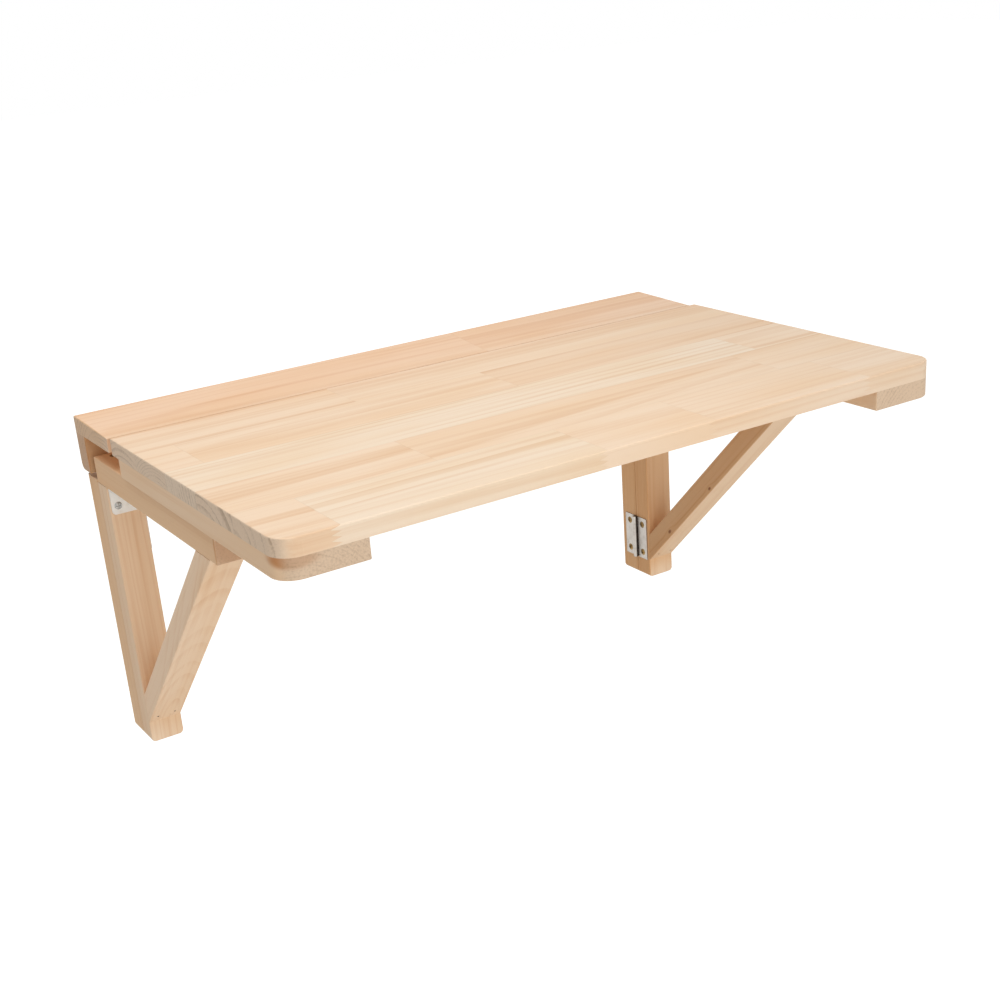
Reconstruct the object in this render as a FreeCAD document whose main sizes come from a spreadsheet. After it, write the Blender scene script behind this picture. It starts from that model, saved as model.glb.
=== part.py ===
"""Wall mounted drop leaf table: a fixed rear strip on a wall rail, a hinged leaf and two swing brackets.

Frame: X along the wall, +Y into the wall, +Z up. The origin is the middle of the rail's back face.
"""
import FreeCAD, Part
import Sketcher
import os

# Driving dimensions, in millimetres
SIZES = {
    # top
    "table_length": 600,
    "table_depth": 400,
    "board_thickness": 14,
    "strip_depth": 82,
    "strip_fall": 2.2,
    "slot_width": 8.5,
    "corner_radius": 18,
    "board_round": 1.2,
    # wall rail and its dowels
    "rail_height": 33,
    "rail_thickness": 20,
    "rail_round": 6,
    "dowel_radius": 4,
    "dowel_length": 26,
    "dowel_rise": 9,
    "dowel_margin": 40,
    "dowel_play": 0.05,
    # battens under the leaf
    "batten_width": 67,
    "batten_thickness": 16.2,
    "batten_setback": 12.5,
    "batten_screw_margin": 40,
    # folding brackets
    "bracket_inset": 3,
    "bracket_height": 264.4,
    "post_width": 30,
    "wall_post_thickness": 26,
    "swing_post_thickness": 20,
    "post_round": 4,
    "post_gap": 4.5,
    "swing_play": 0.5,
    "arm_height": 22.5,
    "arm_length": 253.5,
    "arm_play": 0.6,
    "arm_round": 1,
    "brace_thickness": 20,
    "brace_lift": 20,
    "brace_setback": 13.5,
    "timber_round": 1,
    # brads through the ends of the brace
    "brad_radius": 0.9,
    "brad_length": 12,
    "brad_rise": 7,
    "brad_spread": 8,
    "brad_sink": 1.2,
    # white corner brace between post and arm
    "angle_width": 27,
    "angle_leg": 24.5,
    "angle_thickness": 2,
    "angle_round": 3,
    "angle_screw_reach": 17,
    "angle_screw_spread": 8,
    # butt hinges
    "hinge_height": 45.5,
    "hinge_reach": 17.5,
    "plate_thickness": 1.2,
    "pin_radius": 1.25,
    "pin_play": 0.05,
    "knuckle_gap": 0.2,
    "knuckle_play": 0.3,
    "hinge_screw_offset": 10.5,
    "hinge_screw_pitch": 31,
    "hinge_inset": 19.5,
    "leaf_hinge_pitch": 170,
    # small raised head screw of hinges and, with a flatter head, of corner braces
    "screw_radius": 1.5,
    "screw_length": 12,
    "screw_head_radius": 3.5,
    "screw_head_depth": 1.3,
    "screw_dome": 1.1,
    "angle_screw_head_radius": 3.4,
    "angle_screw_dome": 1,
    # flat head wood screw of the battens
    "batten_screw_radius": 1.75,
    "batten_screw_length": 25,
    "batten_screw_head_radius": 3.5,
    "batten_screw_head_depth": 2,
    # flat head wood screw that holds the arm on the post
    "arm_screw_radius": 2,
    "arm_screw_length": 50,
    "arm_screw_head_radius": 4,
    "arm_screw_head_depth": 2.4,
    # cross recess of every screw head
    "recess_width": 1,
    "recess_depth": 1.1,
    # holes for the wall screws
    "wall_hole_radius": 2.75,
    "sinking_radius": 5,
    "sinking_depth": 8,
    "rail_hole_margin": 50,
    "post_hole_pitch": 90,
    # length by which cutting shapes pass the surface they cut
    "overrun": 4,
}

KNUCKLES = 5
RECESS_REACH_SHARE = 0.62
TIP_SHARE = 0.25
NEAR_SHARE = 1e-6
# Places along the rail, from the middle to the outermost one
DOWEL_SHARES = (-1, -0.5, 0, 0.5, 1)
RAIL_HOLE_SHARES = (-1, -0.4, 0.4, 1)

doc = FreeCAD.newDocument("wall_drop_leaf_table")
sheet = doc.addObject("Spreadsheet::Sheet", "Sizes")
for row, (alias, value) in enumerate(SIZES.items(), start=1):
    sheet.set(f"A{row}", alias)
    sheet.set(f"B{row}", str(value))
    sheet.setAlias(f"B{row}", alias)
doc.recompute()


class Names:
    """Gives each size the text that an expression uses for it."""


S = Names()
for alias in SIZES:
    setattr(S, alias, f"Sizes.{alias}")

nodes = {}


def size(expression):
    """Present value of an expression over the sheet."""
    return float(sheet.evalExpression(expression))


def bind(thing, **expressions):
    for name, expression in expressions.items():
        thing.setExpression(name, expression)


def put(thing, place):
    """Binds the three coordinates of a thing's placement."""
    for axis, expression in zip("xyz", place):
        thing.setExpression(f"Placement.Base.{axis}", expression)


def node(label, thing):
    """Registers a finished piece under the name of its file."""
    thing.Label = label
    nodes[label] = thing
    return thing


def add(kind, label, place=("0", "0", "0"), **expressions):
    thing = doc.addObject(kind, label)
    bind(thing, **expressions)
    put(thing, place)
    return thing


def fuse(label, pieces):
    thing = doc.addObject("Part::MultiFuse", label)
    thing.Shapes = pieces
    return thing


def cut(label, base, tool):
    thing = doc.addObject("Part::Cut", label)
    thing.Base = base
    thing.Tool = tool
    return thing


def group(label, members):
    thing = doc.addObject("Part::Compound", label)
    thing.Links = members
    return thing


def drilled(label, base, tools):
    """A piece with the holes of its fasteners."""
    return node(label, cut(label, base, group(f"{label}_drills", tools)))


def twin(master, label, place, turn):
    """Another copy of a master piece, turned and placed."""
    link = doc.addObject("App::Link", label)
    link.LinkedObject = master
    link.LinkTransform = True
    link.Placement = FreeCAD.Placement(FreeCAD.Vector(), turn)
    put(link, place)
    return link


def twins(master, label, spots):
    return [twin(master, f"{label}_{i}", place, turn) for i, (place, turn) in enumerate(spots)]


class Frame:
    """A local frame along the main axes: places in it become expressions in the table's frame."""

    def __init__(self, origin, x_axis, y_axis):
        self.origin = origin
        self.x = FreeCAD.Vector(*x_axis)
        self.y = FreeCAD.Vector(*y_axis)
        self.z = self.x.cross(self.y)
        self.turn = FreeCAD.Rotation(self.x, self.y, self.z, "XYZ")

    def at(self, *local):
        place = []
        for i in range(3):
            text = self.origin[i]
            for expression, axis in zip(local, (self.x, self.y, self.z)):
                if axis[i]:
                    text += f" {'+' if axis[i] > 0 else '-'} ({expression})"
            place.append(text)
        return place


def facing(x_axis, z_axis):
    """Turn that brings a screw's head to face along z_axis."""
    x = FreeCAD.Vector(*x_axis)
    z = FreeCAD.Vector(*z_axis)
    return FreeCAD.Rotation(x, z.cross(x), z, "XYZ")


RIGHT, BACK, UP = (1, 0, 0), (0, 1, 0), (0, 0, 1)
LEFT, FRONT, DOWN = (-1, 0, 0), (0, -1, 0), (0, 0, -1)
SIDES = {"left": -1, "right": 1}

# Heights and depths that several pieces share
underside = f"({S.rail_height} / 2)"
leaf_back = f"(-{S.strip_depth} - {S.slot_width})"
batten_bottom = f"({underside} - {S.batten_thickness})"
arm_top = f"({batten_bottom} - {S.arm_play})"
arm_bottom = f"({arm_top} - {S.arm_height})"
post_bottom = f"({arm_top} - {S.bracket_height})"
wall_post_top = f"(-{S.rail_height} / 2 - {S.post_gap})"
swing_back = f"(-{S.wall_post_thickness} - {S.swing_play})"
swing_front = f"({swing_back} - {S.swing_post_thickness})"
arm_front = f"({swing_back} - {S.arm_length})"
bore_radius = f"({S.pin_radius} + {S.pin_play})"
barrel_radius = f"({bore_radius} + {S.plate_thickness})"


def edges_at(feature, **limits):
    """Names of the edges that lie along the stated limits of a feature's box."""
    box = feature.Shape.BoundBox
    near = box.DiagonalLength * NEAR_SHARE
    found = []
    for i, edge in enumerate(feature.Shape.Edges, start=1):
        ends = edge.BoundBox
        wanted = True
        for axis, limit in limits.items():
            goal = getattr(box, f"{axis.upper()}{limit}")
            low = getattr(ends, f"{axis.upper()}Min")
            high = getattr(ends, f"{axis.upper()}Max")
            wanted = wanted and abs(low - goal) < near and abs(high - goal) < near
        if wanted:
            found.append(f"Edge{i}")
    return found


def fillet(body, base, edges, radius):
    """Rounds the named edges of a body's last feature."""
    doc.recompute()
    feature = body.newObject("PartDesign::Fillet", f"{body.Name}_round")
    feature.Base = (base, edges)
    bind(feature, Radius=radius)
    return feature


def smooth(shape, edge):
    """Whether the faces at an edge run into each other without a corner."""
    middle = edge.valueAt((edge.FirstParameter + edge.LastParameter) / 2)
    normals = [face.normalAt(*face.Surface.parameter(middle)) for face in shape.ancestorsOfType(edge, Part.Face)]
    return normals[0].dot(normals[-1]) > 1 - NEAR_SHARE


def board(label, place, lengths, rounding, corners=(), corner_radius=None, crisp=(), fall="0"):
    """A timber with softened edges, with wide radii on the edges that corners name.

    The edges that crisp names stay sharp, because another piece is fitted against them. The upper face
    loses the height fall towards the front.
    """
    body = doc.addObject("PartDesign::Body", f"{label}_timber")
    block = body.newObject("PartDesign::AdditiveWedge", f"{label}_block")
    bind(block, Xmin="0", Ymin="0", Zmin="0", X2min="0", Z2min="0", Xmax=lengths[0], Ymax=lengths[1],
         Zmax=f"{lengths[2]} - {fall}", X2max=lengths[0], Z2max=lengths[2])
    put(body, place)
    doc.recompute()
    last = block
    if corners:
        names = [name for limits in corners for name in edges_at(block, **limits)]
        last = fillet(body, block, names, corner_radius)
        doc.recompute()
    sharp = [name for limits in crisp for name in edges_at(last, **limits)]
    names = [f"Edge{i}" for i, edge in enumerate(last.Shape.Edges, start=1) if not smooth(last.Shape, edge)]
    names = [name for name in names if name not in sharp]
    if names:
        fillet(body, last, names, rounding)
    return body


def screw(label, radius, length, head_radius, head_depth, dome=None):
    """A cross head wood screw along Z, its rim at the origin: returns its plain outline and the screw."""
    shank_length = f"({length} * (1 - {TIP_SHARE}))"
    tip_length = f"({length} * {TIP_SHARE})"
    shank = add("Part::Cylinder", f"{label}_shank", ("0", "0", f"-{shank_length}"),
                Radius=radius, Height=shank_length)
    tip = add("Part::Cone", f"{label}_tip", ("0", "0", f"-{length}"),
              Radius1=f"{radius} * {TIP_SHARE}", Radius2=radius, Height=tip_length)
    head = add("Part::Cone", f"{label}_head", ("0", "0", f"-{head_depth}"),
               Radius1=radius, Radius2=head_radius, Height=head_depth)
    pieces = [shank, tip, head]
    crown = "0"
    if dome:
        ball = f"(({head_radius} ^ 2 + {dome} ^ 2) / (2 * {dome}))"
        pieces.append(add("Part::Sphere", f"{label}_dome", ("0", "0", f"{dome} - {ball}"),
                          Radius=ball, Angle1=f"asin(({ball} - {dome}) / {ball})"))
        crown = dome
    outline = fuse(f"{label}_outline", pieces)
    reach = f"({head_radius} * {RECESS_REACH_SHARE})"
    floor = f"{crown} - {S.recess_depth}"
    depth = f"{S.recess_depth} + {S.overrun}"
    bars = []
    for name, along, across in (("long", reach, f"{S.recess_width} / 2"),
                                ("cross", f"{S.recess_width} / 2", reach)):
        bars.append(add("Part::Box", f"{label}_{name}_slot", (f"-({along})", f"-({across})", floor),
                        Length=f"2 * {along}", Width=f"2 * {across}", Height=depth))
    return outline, cut(label, outline, fuse(f"{label}_recess", bars))


def hinge_plate(label, windows):
    """One plate of a butt hinge with its rolled knuckles: pin along Z, wood at the low Y side."""
    body = doc.addObject("PartDesign::Body", f"{label}_roll")
    plane = [f for f in body.Origin.OriginFeatures if f.Role == "XY_Plane"][0]
    sketch = body.newObject("Sketcher::SketchObject", f"{label}_profile")
    sketch.AttachmentSupport = (plane, [""])
    sketch.MapMode = "FlatFace"
    roll = size(barrel_radius)
    bore = size(bore_radius)
    reach = size(S.hinge_reach)
    corner = FreeCAD.Vector(reach, -roll, 0)
    tangent = FreeCAD.Vector(0, -roll, 0)
    inner = FreeCAD.Vector((roll ** 2 - bore ** 2) ** 0.5, -bore, 0)
    edge = FreeCAD.Vector(reach, -bore, 0)
    circle = Part.Circle(FreeCAD.Vector(), FreeCAD.Vector(0, 0, 1), roll)
    start = circle.parameter(inner)
    back = sketch.addGeometry(Part.LineSegment(corner, tangent))
    arc = sketch.addGeometry(Part.ArcOfCircle(circle, start, circle.parameter(tangent)))
    face = sketch.addGeometry(Part.LineSegment(inner, edge))
    end = sketch.addGeometry(Part.LineSegment(edge, corner))
    constrain = sketch.addConstraint
    constrain(Sketcher.Constraint("Tangent", back, 2, arc, 2))
    constrain(Sketcher.Constraint("Coincident", arc, 1, face, 1))
    constrain(Sketcher.Constraint("Coincident", face, 2, end, 1))
    constrain(Sketcher.Constraint("Coincident", end, 2, back, 1))
    constrain(Sketcher.Constraint("Coincident", arc, 3, -1, 1))
    constrain(Sketcher.Constraint("Horizontal", back))
    constrain(Sketcher.Constraint("Horizontal", face))
    constrain(Sketcher.Constraint("Vertical", end))
    for name, constraint, expression in (
            ("roll", Sketcher.Constraint("Radius", arc, roll), barrel_radius),
            ("reach", Sketcher.Constraint("DistanceX", -1, 1, end, 2, reach), S.hinge_reach),
            ("gauge", Sketcher.Constraint("Distance", end, roll - bore), S.plate_thickness)):
        index = constrain(constraint)
        sketch.renameConstraint(index, name)
        sketch.setExpression(f"Constraints.{name}", expression)
    pad = body.newObject("PartDesign::Pad", f"{label}_pad")
    pad.Profile = sketch
    pad.Midplane = True
    bind(pad, Length=S.hinge_height)
    doc.recompute()
    pitch = f"{S.hinge_height} / {KNUCKLES}"
    for i in windows:
        window = body.newObject("PartDesign::SubtractiveBox", f"{label}_window")
        low = f"-{S.hinge_height} / 2 + {pitch} * {i} - {S.knuckle_gap} / 2"
        put(window, (f"-{barrel_radius} - {S.overrun}", f"-{barrel_radius} - {S.overrun}", low))
        bind(window, Length=f"2 * {barrel_radius} + {S.overrun} + {S.knuckle_play}",
             Width=f"2 * ({barrel_radius} + {S.overrun})", Height=f"{pitch} + {S.knuckle_gap}")
    bore_cut = body.newObject("PartDesign::SubtractiveCylinder", f"{label}_bore")
    put(bore_cut, ("0", "0", f"-{S.hinge_height} / 2 - {S.overrun}"))
    bind(bore_cut, Radius=bore_radius, Height=f"{S.hinge_height} + 2 * {S.overrun}")
    return body


def hinge_screw_spots(frame, side):
    """Places of one plate's two screws; side is 1 for the fixed plate and -1 for the moving one."""
    turn = facing(frame.x, frame.y)
    offset = f"{side} * {S.hinge_screw_offset}"
    rim = f"{S.plate_thickness} - {barrel_radius}"
    return [(frame.at(offset, rim, f"{end} * {S.hinge_screw_pitch} / 2"), turn) for end in (-1, 1)]


# Masters that are used many times
small_outline, small_screw = screw("small_screw", S.screw_radius, S.screw_length, S.screw_head_radius,
                                   S.screw_head_depth, S.screw_dome)
angle_outline, angle_screw = screw("angle_screw", S.screw_radius, S.screw_length, S.angle_screw_head_radius,
                                   S.screw_head_depth, S.angle_screw_dome)
batten_outline, batten_screw = screw("batten_screw", S.batten_screw_radius, S.batten_screw_length,
                                     S.batten_screw_head_radius, S.batten_screw_head_depth)
arm_outline, arm_screw = screw("arm_screw", S.arm_screw_radius, S.arm_screw_length,
                               S.arm_screw_head_radius, S.arm_screw_head_depth)

own_frame = Frame(("0", "0", "0"), RIGHT, BACK)
fixed_windows = range(1, KNUCKLES, 2)
moving_windows = range(0, KNUCKLES, 2)
plate_drills = group("plate_drills", twins(small_outline, "plate_drill", hinge_screw_spots(own_frame, 1)))
fixed_plate = cut("fixed_plate", hinge_plate("fixed_plate", fixed_windows), plate_drills)
moving_plate = cut("moving_plate", hinge_plate("moving_plate", moving_windows), plate_drills)
hinge_pin = add("Part::Cylinder", "hinge_pin", ("0", "0", f"-{S.hinge_height} / 2"),
                Radius=S.pin_radius, Height=S.hinge_height)
half_turn = FreeCAD.Rotation(FreeCAD.Vector(*BACK), 180)


def hinge(label, frame, fixed_name, moving_name):
    """The three pieces of one hinge in its frame."""
    node(f"{label}_{fixed_name}", twin(fixed_plate, f"{label}_{fixed_name}", frame.origin, frame.turn))
    node(f"{label}_{moving_name}",
         twin(moving_plate, f"{label}_{moving_name}", frame.origin, frame.turn.multiply(half_turn)))
    node(f"{label}_pin", twin(hinge_pin, f"{label}_pin", frame.origin, frame.turn))


def wall_hole(label, thickness):
    """A through hole from the wall plane towards the front along Z, with a sinking for the head."""
    through = add("Part::Cylinder", f"{label}_through", ("0", "0", f"-{S.overrun}"),
                  Radius=S.wall_hole_radius, Height=f"{thickness} + 2 * {S.overrun}")
    sinking = add("Part::Cylinder", f"{label}_sinking", ("0", "0", f"{thickness} - {S.sinking_depth}"),
                  Radius=S.sinking_radius, Height=f"{S.sinking_depth} + {S.overrun}")
    return fuse(label, [through, sinking])


head_down = facing(RIGHT, DOWN)
head_up = facing(RIGHT, UP)
head_front = facing(RIGHT, FRONT)

# Wall rail, fixed strip and the dowels between them
dowel_reach = f"({S.table_length} / 2 - {S.dowel_margin})"
dowel_place = [(f"{share} * {dowel_reach}", f"-{S.rail_thickness} / 2",
                f"{underside} + {S.dowel_rise} - {S.dowel_length}") for share in DOWEL_SHARES]
dowel = add("Part::Cylinder", "dowel", Radius=S.dowel_radius, Height=S.dowel_length)
dowel_hole = add("Part::Cylinder", "dowel_hole", Radius=f"{S.dowel_radius} + {S.dowel_play}",
                 Height=S.dowel_length)
dowel_spots = [(place, FreeCAD.Rotation()) for place in dowel_place]
node("rail_dowels", group("rail_dowels", twins(dowel, "dowel_copy", dowel_spots)))

rail_hole = wall_hole("rail_hole", S.rail_thickness)
rail_hole_reach = f"({S.table_length} / 2 - {S.rail_hole_margin})"
rail_hole_spots = [((f"{share} * {rail_hole_reach}", "0", "0"), head_front)
                   for share in RAIL_HOLE_SHARES]
rail = board("wall_rail", (f"-{S.table_length} / 2", f"-{S.rail_thickness}", f"-{S.rail_height} / 2"),
             (S.table_length, S.rail_thickness, S.rail_height), S.board_round,
             [{"y": "Max", "z": "Min"}], S.rail_round, [{"z": "Max"}])
drilled("wall_rail", rail, twins(dowel_hole, "rail_dowel_hole", dowel_spots)
        + twins(rail_hole, "rail_hole_copy", rail_hole_spots))

# Leaf hinges: pin along X in the middle of the slot, just below the boards
leaf_pin_y = f"(-{S.strip_depth} - {S.slot_width} / 2)"
leaf_pin_z = f"({underside} - {barrel_radius})"
leaf_frames = {}
for name, step in (("left", -1), ("middle", 0), ("right", 1)):
    leaf_frames[name] = Frame((f"{step} * {S.leaf_hinge_pitch}", leaf_pin_y, leaf_pin_z), BACK, DOWN)
    hinge(f"{name}_leaf_hinge", leaf_frames[name], "strip_plate", "leaf_plate")
strip_spots = [spot for frame in leaf_frames.values() for spot in hinge_screw_spots(frame, 1)]
leaf_spots = [spot for frame in leaf_frames.values() for spot in hinge_screw_spots(frame, -1)]
node("strip_hinge_screws", group("strip_hinge_screws", twins(small_screw, "strip_screw", strip_spots)))
node("leaf_hinge_screws", group("leaf_hinge_screws", twins(small_screw, "leaf_screw", leaf_spots)))

strip = board("fixed_strip", (f"-{S.table_length} / 2", f"-{S.strip_depth}", underside),
              (S.table_length, S.strip_depth, S.board_thickness), S.board_round,
              crisp=[{"z": "Min"}, {"y": "Min"}], fall=S.strip_fall)
drilled("fixed_strip", strip, twins(dowel_hole, "strip_dowel_hole", dowel_spots)
        + twins(small_outline, "strip_pilot", strip_spots))

# Leaf and its battens
batten_length = f"({S.table_depth} - {S.strip_depth} - {S.slot_width} - {S.batten_setback})"
batten_back = f"({leaf_back} - {S.batten_setback})"
batten_middle = f"({S.table_length} / 2 - {S.batten_width} / 2)"
batten_rows = [f"{batten_back} - {S.batten_screw_margin}",
               f"{batten_back} - {batten_length} / 2",
               f"{batten_back} - {batten_length} + {S.batten_screw_margin}"]
batten_spots = {side: [((f"{sign} * {batten_middle}", y, batten_bottom), head_down) for y in batten_rows]
                for side, sign in SIDES.items()}
all_batten_spots = batten_spots["left"] + batten_spots["right"]
node("batten_screws", group("batten_screws", twins(batten_screw, "batten_screw_copy", all_batten_spots)))

leaf = board("leaf_panel", (f"-{S.table_length} / 2", f"-{S.table_depth}", underside),
             (S.table_length, f"{S.table_depth} - {S.strip_depth} - {S.slot_width}", S.board_thickness),
             S.board_round, [{"x": "Min", "y": "Min"}, {"x": "Max", "y": "Min"}], S.corner_radius,
             [{"z": "Min"}, {"y": "Max"}])
drilled("leaf_panel", leaf, twins(small_outline, "leaf_pilot", leaf_spots)
        + twins(batten_outline, "leaf_batten_pilot", all_batten_spots))
for side, sign in SIDES.items():
    outer = "Max" if sign > 0 else "Min"
    batten = board(f"{side}_batten",
                   (f"{sign} * {batten_middle} - {S.batten_width} / 2", f"-{S.table_depth}", batten_bottom),
                   (S.batten_width, batten_length, S.batten_thickness), S.board_round,
                   [{"x": outer, "y": "Min"}], S.corner_radius, [{"z": "Max"}])
    drilled(f"{side}_batten", batten, twins(batten_outline, f"{side}_batten_pilot", batten_spots[side]))

# Corner brace: a leg on the post's front and a leg under the arm, its corner at the origin
angle = doc.addObject("PartDesign::Body", "corner_angle")
post_leg = angle.newObject("PartDesign::AdditiveBox", "post_leg")
put(post_leg, (f"-{S.angle_width} / 2", f"-{S.angle_thickness}", f"-{S.angle_leg}"))
bind(post_leg, Length=S.angle_width, Width=S.angle_thickness, Height=S.angle_leg)
arm_leg = angle.newObject("PartDesign::AdditiveBox", "arm_leg")
put(arm_leg, (f"-{S.angle_width} / 2", f"-{S.angle_leg}", f"-{S.angle_thickness}"))
bind(arm_leg, Length=S.angle_width, Width=S.angle_leg, Height=S.angle_thickness)
doc.recompute()
angle_corners = [name for x in ("Min", "Max") for name in
                 edges_at(arm_leg, x=x, z="Min") + edges_at(arm_leg, x=x, y="Min")]
fillet(angle, arm_leg, angle_corners, S.angle_round)


def angle_screw_spots(frame):
    """Two screws in each leg of a corner brace."""
    spots = []
    for sign in (-1, 1):
        x = f"{sign} * {S.angle_screw_spread}"
        reach = f"-{S.angle_screw_reach}"
        face = f"-{S.angle_thickness}"
        spots.append((frame.at(x, face, reach), head_front))
        spots.append((frame.at(x, reach, face), head_down))
    return spots


angle_drills = group("angle_drills", twins(angle_outline, "angle_drill", angle_screw_spots(own_frame)))
corner_brace = cut("corner_brace", angle, angle_drills)

# Brace: mitred between the front of the swing post and the underside of the arm
brace_rise = f"({arm_bottom} - {post_bottom})"
brace_run = f"({S.arm_length} - {S.swing_post_thickness} - {S.brace_setback})"


def brace_timber(label, place):
    """The sloping timber, drawn from the post's front at its foot: X forwards, Y up."""
    body = doc.addObject("PartDesign::Body", f"{label}_timber")
    body.Placement = FreeCAD.Placement(FreeCAD.Vector(), Frame(("0", "0", "0"), FRONT, UP).turn)
    put(body, place)
    plane = [f for f in body.Origin.OriginFeatures if f.Role == "XY_Plane"][0]
    sketch = body.newObject("Sketcher::SketchObject", f"{label}_profile")
    sketch.AttachmentSupport = (plane, [""])
    sketch.MapMode = "FlatFace"
    lift, run, rise = size(S.brace_lift), size(brace_run), size(brace_rise)
    thickness = size(S.brace_thickness)
    slant = ((rise - lift) ** 2 + run ** 2) ** 0.5
    foot = FreeCAD.Vector(0, lift, 0)
    tip = FreeCAD.Vector(run, rise, 0)
    tip_back = FreeCAD.Vector(run - thickness * slant / (rise - lift), rise, 0)
    foot_back = FreeCAD.Vector(0, lift + thickness * slant / run, 0)
    corners = [foot, tip, tip_back, foot_back]
    lines = [sketch.addGeometry(Part.LineSegment(a, b)) for a, b in zip(corners, corners[1:] + corners[:1])]
    front, top_cut, back, foot_cut = lines
    for first, second in zip(lines, lines[1:] + lines[:1]):
        sketch.addConstraint(Sketcher.Constraint("Coincident", first, 2, second, 1))
    sketch.addConstraint(Sketcher.Constraint("Horizontal", top_cut))
    sketch.addConstraint(Sketcher.Constraint("PointOnObject", front, 1, -2))
    sketch.addConstraint(Sketcher.Constraint("PointOnObject", foot_cut, 1, -2))
    sketch.addConstraint(Sketcher.Constraint("Parallel", front, back))
    for name, constraint, expression in (
            ("lift", Sketcher.Constraint("DistanceY", -1, 1, front, 1, lift), S.brace_lift),
            ("run", Sketcher.Constraint("DistanceX", -1, 1, front, 2, run), brace_run),
            ("rise", Sketcher.Constraint("DistanceY", -1, 1, front, 2, rise), brace_rise),
            ("gauge", Sketcher.Constraint("Distance", front, 1, back, thickness), S.brace_thickness)):
        index = sketch.addConstraint(constraint)
        sketch.renameConstraint(index, name)
        sketch.setExpression(f"Constraints.{name}", expression)
    pad = body.newObject("PartDesign::Pad", f"{label}_pad")
    pad.Profile = sketch
    pad.Midplane = True
    bind(pad, Length=S.post_width)
    doc.recompute()
    slanting = []
    for i, edge in enumerate(pad.Shape.Edges, start=1):
        ends = edge.BoundBox
        if ends.XLength > thickness and ends.YLength > thickness:
            slanting.append(f"Edge{i}")
    fillet(body, pad, slanting, S.timber_round)
    return body


brad = add("Part::Cylinder", "brad", ("0", "0", f"-{S.brad_length}"),
           Radius=S.brad_radius, Height=S.brad_length)
brad_hole = add("Part::Cylinder", "brad_hole", ("0", "0", f"-{S.brad_length}"),
                Radius=S.brad_radius, Height=f"{S.brad_length} + {S.brad_sink} + {S.overrun}")


def brad_spots(middle):
    """Two level brads at the brace's foot and two upright ones at its tip."""
    slope = f"({brace_run} / ({brace_rise} - {S.brace_lift}))"
    foot_y = f"{swing_front} - {S.brad_rise} * {slope} + {S.brad_sink}"
    foot_z = f"{post_bottom} + {S.brace_lift} + {S.brad_rise}"
    tip_y = f"{swing_front} - {brace_run} + {S.brad_rise}"
    tip_z = f"{arm_bottom} - {S.brad_rise} / {slope} + {S.brad_sink}"
    spots = {"foot": [], "tip": []}
    for sign in (-1, 1):
        x = f"{middle} + {sign} * {S.brad_spread}"
        spots["foot"].append(((x, foot_y, foot_z), head_front))
        spots["tip"].append(((x, tip_y, tip_z), head_down))
    return spots


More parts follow.
